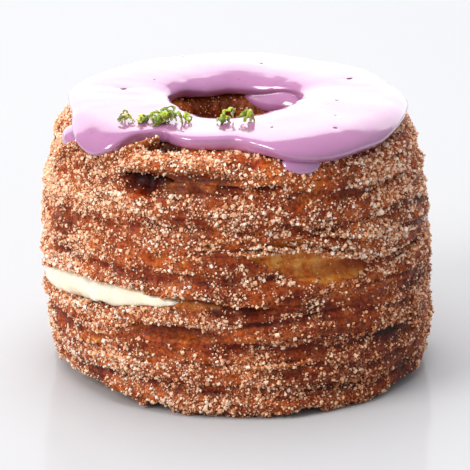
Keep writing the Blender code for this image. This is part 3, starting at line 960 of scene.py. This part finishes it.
def make_zest(icing):
    """The curls of green zest, heaped on the icing."""
    height = icing_surface(icing)
    rng = np.random.default_rng(5)
    sheets = []
    for angle, radius, spread_x, spread_y, count in ZEST_HEAPS:
        middle = to_points(math.radians(angle), radius, 0.0)
        for index in range(count):
            x = middle[0] + spread_x * rng.uniform(-1, 1)
            y = middle[1] + spread_y * rng.uniform(-1, 1)
            pile = 0.7 * MM * (index % 3 == 2)
            heading = rng.uniform(0, 2 * np.pi)
            sizes = [rng.uniform(low, high) * unit for low, high, unit in CURL_SIZES]
            sheets.append(make_curl(x, y, height(x, y) + pile, heading, *sizes, rng))
    return ribbon_object("zest_curls", sheets, ("peel", "tint"))


def make_specks(icing):
    """Small flecks of dark fruit, sunk a little into the icing."""
    height = icing_surface(icing)
    rng = np.random.default_rng(9)
    flecks = bmesh.new()
    for angle, radius, size in ICING_SPECKS:
        x, y, _ = to_points(math.radians(angle), radius, 0.0)
        sides = (size * rng.uniform(0.8, 1.1), size * rng.uniform(0.35, 0.5), size * 0.22)
        turn = Matrix.Rotation(rng.uniform(-0.6, 0.6), 4, "Z")
        place = Matrix.Translation((x, y, height(x, y))) @ turn @ Matrix.Diagonal((*sides, 1.0))
        made = bmesh.ops.create_icosphere(flecks, subdivisions=3, radius=1.0, matrix=place)
        for vertex in made["verts"]:
            vertex.co += vertex.normal * size * 0.12 * noise.noise(vertex.co * 2500)
    mesh = bpy.data.meshes.new("fruit_specks")
    flecks.to_mesh(mesh)
    flecks.free()
    mesh.shade_smooth()
    return link_mesh("fruit_specks", mesh)


# --- materials


class Nodes:
    """Short calls for building a material's nodes."""

    def __init__(self, name):
        self.material = bpy.data.materials.new(name)
        self.material.use_nodes = True
        self.tree = self.material.node_tree
        self.shader = self.tree.nodes["Principled BSDF"]

    def add(self, kind, **settings):
        node = self.tree.nodes.new(kind)
        for setting, value in settings.items():
            setattr(node, setting, value)
        return node

    def put(self, socket, value):
        """Links a socket to another node's output, or sets it to a constant."""
        if isinstance(value, bpy.types.NodeSocket):
            self.tree.links.new(value, socket)
        else:
            socket.default_value = (*value, 1.0) if socket.type == "RGBA" else value

    def set(self, **values):
        """Sets or links the shader's own sockets."""
        for socket, value in values.items():
            self.put(self.shader.inputs[socket.replace("_", " ")], value)

    def field(self, name):
        return self.add("ShaderNodeAttribute", attribute_name=name).outputs["Fac"]

    def noise(self, scale, detail=3.0, squash=(1, 1, 1)):
        place = self.add("ShaderNodeTexCoord").outputs["Object"]
        mapping = self.add("ShaderNodeMapping")
        self.put(mapping.inputs["Vector"], place)
        self.put(mapping.inputs["Scale"], squash)
        texture = self.add("ShaderNodeTexNoise")
        self.put(texture.inputs["Vector"], mapping.outputs["Vector"])
        for socket, value in (("Scale", scale), ("Detail", detail), ("Roughness", 0.55)):
            self.put(texture.inputs[socket], value)
        return texture.outputs["Fac"]

    def ramp(self, source, *stops):
        """A colour ramp. Each stop is (place, colour or grey)."""
        node = self.add("ShaderNodeValToRGB")
        elements = node.color_ramp.elements
        while len(elements) < len(stops):
            elements.new(0.5)
        for element, (place, colour) in zip(elements, stops):
            element.position = place
            element.color = (*(colour if isinstance(colour, tuple) else (colour,) * 3), 1.0)
        self.put(node.inputs["Fac"], source)
        return node.outputs["Color"]

    def mix(self, share, low, high, blend="MIX"):
        node = self.add("ShaderNodeMix", data_type="RGBA", blend_type=blend)
        colours = [socket for socket in node.inputs if socket.type == "RGBA"]
        for socket, value in zip((node.inputs[0], *colours), (share, low, high)):
            self.put(socket, value)
        return next(socket for socket in node.outputs if socket.type == "RGBA")

    def math(self, operation, a, b):
        node = self.add("ShaderNodeMath", operation=operation)
        for socket, value in zip(node.inputs, (a, b)):
            self.put(socket, value)
        return node.outputs[0]

    def bump(self, scale, distance, strength, under=None, **noise):
        """Relief from a noise, over any other relief."""
        node = self.add("ShaderNodeBump")
        height = self.noise(scale, **noise)
        for socket, value in (("Height", height), ("Distance", distance), ("Strength", strength)):
            self.put(node.inputs[socket], value)
        if under is not None:
            self.put(node.inputs["Normal"], under)
        return node.outputs["Normal"]


def dough_material():
    """Fried pastry: browned and orange leaves, golden crumb where bare, dust of cinnamon sugar, and
    painted shade in its hollows.
    """
    m = Nodes("fried_dough")
    patches = m.noise(110, detail=4)
    crust = m.ramp(patches, (0.32, (0.12, 0.008, 0.001)), (0.47, (0.31, 0.031, 0.002)),
                   (0.60, (0.56, 0.095, 0.006)), (0.76, (0.79, 0.26, 0.026)))
    streaks = m.ramp(m.noise(60, squash=(1, 1, 14)), (0.42, 0), (0.68, 0.35))
    crust = m.mix(streaks, crust, (0.57, 0.15, 0.015))
    crumb = m.ramp(m.noise(420, detail=4), (0.32, (0.60, 0.14, 0.010)),
                   (0.5, (0.86, 0.33, 0.045)), (0.70, (0.95, 0.52, 0.14)))
    painted_shade, bare = m.field("painted_shade"), m.field("bare")
    colour = m.mix(m.math("MULTIPLY", bare, 0.85), crust, crumb)
    # Painted shade from the field of darkening in hollows, multiplied into the colour
    painted_darkening = m.ramp(painted_shade, (0.2, 1), (0.6, (0.45, 0.22, 0.15)), (1.0, (0.10, 0.02, 0.01)))
    colour = m.mix(1.0, colour, painted_darkening, "MULTIPLY")
    # Random dark mottle: partly the crust's own uneven tone, partly painted shade between the
    # grains
    mottle_and_painted_shade = m.ramp(m.noise(1250), (0.40, (0.30, 0.20, 0.17)), (0.62, 1))
    mottle_and_shade_strength = m.math("SUBTRACT", 0.85, m.math("MULTIPLY", bare, 0.5))
    colour = m.mix(mottle_and_shade_strength, colour, mottle_and_painted_shade, "MULTIPLY")
    dust = m.ramp(m.noise(1900, detail=2), (0.46, 0), (0.60, 1))
    dust = m.math("MULTIPLY", m.field("sugar"), dust)
    colour = m.mix(m.math("MULTIPLY", dust, 0.6), colour, (0.76, 0.30, 0.12))
    relief = m.bump(2600, 0.12 * MM, 0.7, detail=2)
    relief = m.bump(900, 0.35 * MM, 0.9, relief, detail=4)
    relief = m.bump(220, 0.5 * MM, 0.6, relief, detail=2, squash=(1, 1, 6))
    m.set(Base_Color=colour, Roughness=m.ramp(m.noise(500), (0.3, 0.38), (0.7, 0.70)))
    m.set(Normal=relief, Specular_IOR_Level=0.25)
    m.set(Subsurface_Weight=0.1, Subsurface_Scale=0.001, Subsurface_Radius=(1.0, 0.35, 0.12))
    return m.material


def sugar_material():
    """Sugar crystals, from clear white ones to those coated brown with cinnamon."""
    m = Nodes("cinnamon_sugar")
    colour = m.ramp(m.field("tint"), (0, (0.24, 0.035, 0.008)), (0.25, (0.58, 0.18, 0.060)),
                    (0.52, (0.91, 0.48, 0.26)), (0.80, (1, 0.715, 0.505)), (1, (1, 0.89, 0.80)))
    m.set(Base_Color=colour, Roughness=m.ramp(m.noise(900), (0.35, 0.18), (0.65, 0.42)))
    m.set(Normal=m.bump(2600, 0.05 * MM, 0.4, detail=2), Specular_IOR_Level=0.4)
    m.set(Subsurface_Weight=0.25, Subsurface_Scale=0.0008, Subsurface_Radius=(1.0, 0.7, 0.5))
    return m.material


def cinnamon_material():
    m = Nodes("cinnamon")
    colour = m.ramp(m.noise(1400), (0.35, (0.10, 0.022, 0.006)), (0.65, (0.30, 0.09, 0.03)))
    m.set(Base_Color=colour, Normal=m.bump(3000, 0.05 * MM, 0.5), Roughness=0.75)
    return m.material


def icing_material():
    """Glossy set icing, lavender pink, faintly cloudy, with dark fruit specks."""
    m = Nodes("lavender_icing")
    cloud = m.ramp(m.noise(70, detail=2), (0.35, (0.39, 0.150, 0.32)), (0.65, (0.44, 0.180, 0.37)))
    flecks = m.ramp(m.noise(1300, detail=1), (0.735, 0), (0.775, 0.8))
    colour = m.mix(flecks, cloud, (0.30, 0.06, 0.20))
    speck = m.ramp(m.field("speck"), (0.35, 0), (0.75, 0.9))
    colour = m.mix(speck, colour, (0.22, 0.04, 0.14))
    m.set(Base_Color=colour, Roughness=m.ramp(m.noise(160), (0.35, 0.13), (0.65, 0.24)))
    m.set(Normal=m.bump(260, 0.12 * MM, 0.5, detail=2), Specular_IOR_Level=0.6)
    m.set(Coat_Weight=1.0, Coat_Roughness=0.1, Coat_IOR=1.85)
    m.set(Subsurface_Weight=0.35, Subsurface_Scale=0.0022, Subsurface_Radius=(1.0, 0.55, 0.85))
    return m.material


def fruit_material():
    m = Nodes("dark_fruit")
    colour = m.ramp(m.noise(1200), (0.35, (0.05, 0.012, 0.03)), (0.65, (0.16, 0.05, 0.10)))
    m.set(Base_Color=colour, Normal=m.bump(2400, 0.06 * MM, 0.6), Roughness=0.6)
    return m.material


def cream_material():
    m = Nodes("pale_cream")
    body = m.ramp(m.noise(300), (0.35, (0.93, 0.84, 0.63)), (0.6, (0.97, 0.92, 0.77)))
    stain = m.math("MULTIPLY", m.field("edge"), m.ramp(m.noise(260), (0.42, 0), (0.6, 1)))
    colour = m.mix(m.math("MULTIPLY", stain, 0.8), body, (0.80, 0.55, 0.18))
    m.set(Base_Color=colour, Roughness=m.ramp(m.noise(400), (0.35, 0.32), (0.65, 0.5)))
    m.set(Normal=m.bump(700, 0.12 * MM, 0.5))
    m.set(Subsurface_Weight=0.4, Subsurface_Scale=0.002, Subsurface_Radius=(1.0, 0.8, 0.5))
    return m.material


def zest_material():
    m = Nodes("green_zest")
    green = m.ramp(m.field("tint"), (0.0, (0.09, 0.15, 0.01)), (0.35, (0.28, 0.40, 0.02)),
                   (0.75, (0.52, 0.62, 0.05)), (1.0, (0.75, 0.75, 0.12)))
    pith = m.ramp(m.noise(900), (0.4, (0.50, 0.55, 0.16)), (0.65, (0.80, 0.80, 0.48)))
    colour = m.mix(m.ramp(m.field("peel"), (0.25, 0), (0.6, 1)), pith, green)
    pores = m.ramp(m.noise(2200, detail=1), (0.4, 0.45), (0.55, 1))
    colour = m.mix(0.8, colour, pores, "MULTIPLY")
    m.set(Base_Color=colour, Normal=m.bump(2200, 0.08 * MM, 0.6, detail=1), Roughness=0.35)
    m.set(Subsurface_Weight=0.15, Subsurface_Scale=0.0008)
    return m.material


def floor_material():
    """A glossy white table."""
    m = Nodes("white_table")
    tone = m.ramp(m.noise(6, detail=1), (0.3, (0.505, 0.508, 0.522)), (0.7, (0.515, 0.518, 0.532)))
    m.set(Base_Color=tone, Roughness=0.12, Specular_IOR_Level=0.03)
    return m.material


# --- studio


def area_light(name, place, target, size, radiance, colour=(1, 1, 1), mirrored=True):
    """A rectangular softbox. radiance is its brightness, whatever its size, and mirrored says
    whether gloss shows it."""
    lamp = bpy.data.lights.new(name, "AREA")
    lamp.shape = "RECTANGLE"
    lamp.size, lamp.size_y = size
    lamp.energy = radiance * math.pi * size[0] * size[1]
    lamp.color = colour
    made = bpy.data.objects.new(name, lamp)
    made.location = place
    made.visible_glossy = mirrored
    made.rotation_euler = (Vector(target) - Vector(place)).to_track_quat("-Z", "Y").to_euler()
    bpy.context.scene.collection.objects.link(made)


def make_studio():
    """Camera, floor, softboxes and a white room."""
    scene = bpy.context.scene
    lens = bpy.data.cameras.new("camera")
    lens.lens = CAMERA_LENS
    lens.sensor_width = SENSOR_WIDTH
    camera = bpy.data.objects.new("camera", lens)
    rise = math.radians(CAMERA_ELEVATION)
    aim = Vector(AIM)
    camera.location = aim + CAMERA_DISTANCE * Vector((0, -math.cos(rise), math.sin(rise)))
    camera.rotation_euler = (math.radians(90) - rise, 0, 0)
    scene.collection.objects.link(camera)
    scene.camera = camera

    bpy.ops.mesh.primitive_plane_add(size=6, location=(0, 0, 0))
    floor = bpy.context.object
    floor.name = "floor"
    floor.data.materials.append(floor_material())

    centre = (0, 0, 30 * MM)
    area_light("back_softbox", (0, 1.0, 0.52), (0, 0, 0.52), (2.4, 1.0), 1.35)
    area_light("top_softbox", (-0.1, 0.05, 0.9), centre, (0.9, 0.8), 3.3, mirrored=False)
    area_light("key_left", (-0.90, -0.62, 0.72), centre, (0.66, 0.66), 9.1, (1.0, 0.97, 0.93))
    world = bpy.data.worlds.new("white_room")
    world.use_nodes = True
    backdrop = world.node_tree.nodes["Background"]
    backdrop.inputs["Color"].default_value = (0.94, 0.95, 1.0, 1.0)
    backdrop.inputs["Strength"].default_value = 0.52
    scene.world = world
    scene.view_settings.view_transform = "Standard"


# --- assembly


def finish_piece(made, material, replaced=()):
    made.data.materials.append(material)
    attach(made, "root")
    if replaced:
        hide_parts(*replaced)


def main():
    dough_look, sugar_look = dough_material(), sugar_material()
    dough = make_dough()
    flakes = make_flakes()
    cream = make_cream()
    icing = make_icing()
    zest = make_zest(icing)
    specks = make_specks(icing)
    grains = [make_grains([dough, flakes], *kind) for kind in GRAINS]

    finish_piece(dough, dough_look, ["dough"])
    finish_piece(flakes, dough_look)
    finish_piece(cream, cream_material(), ["cream"])
    finish_piece(icing, icing_material(), ["icing"])
    finish_piece(zest, zest_material())
    finish_piece(specks, fruit_material())
    for made in grains[:-1]:
        finish_piece(made, sugar_look)
    finish_piece(grains[-1], cinnamon_material())
    make_studio()


main()
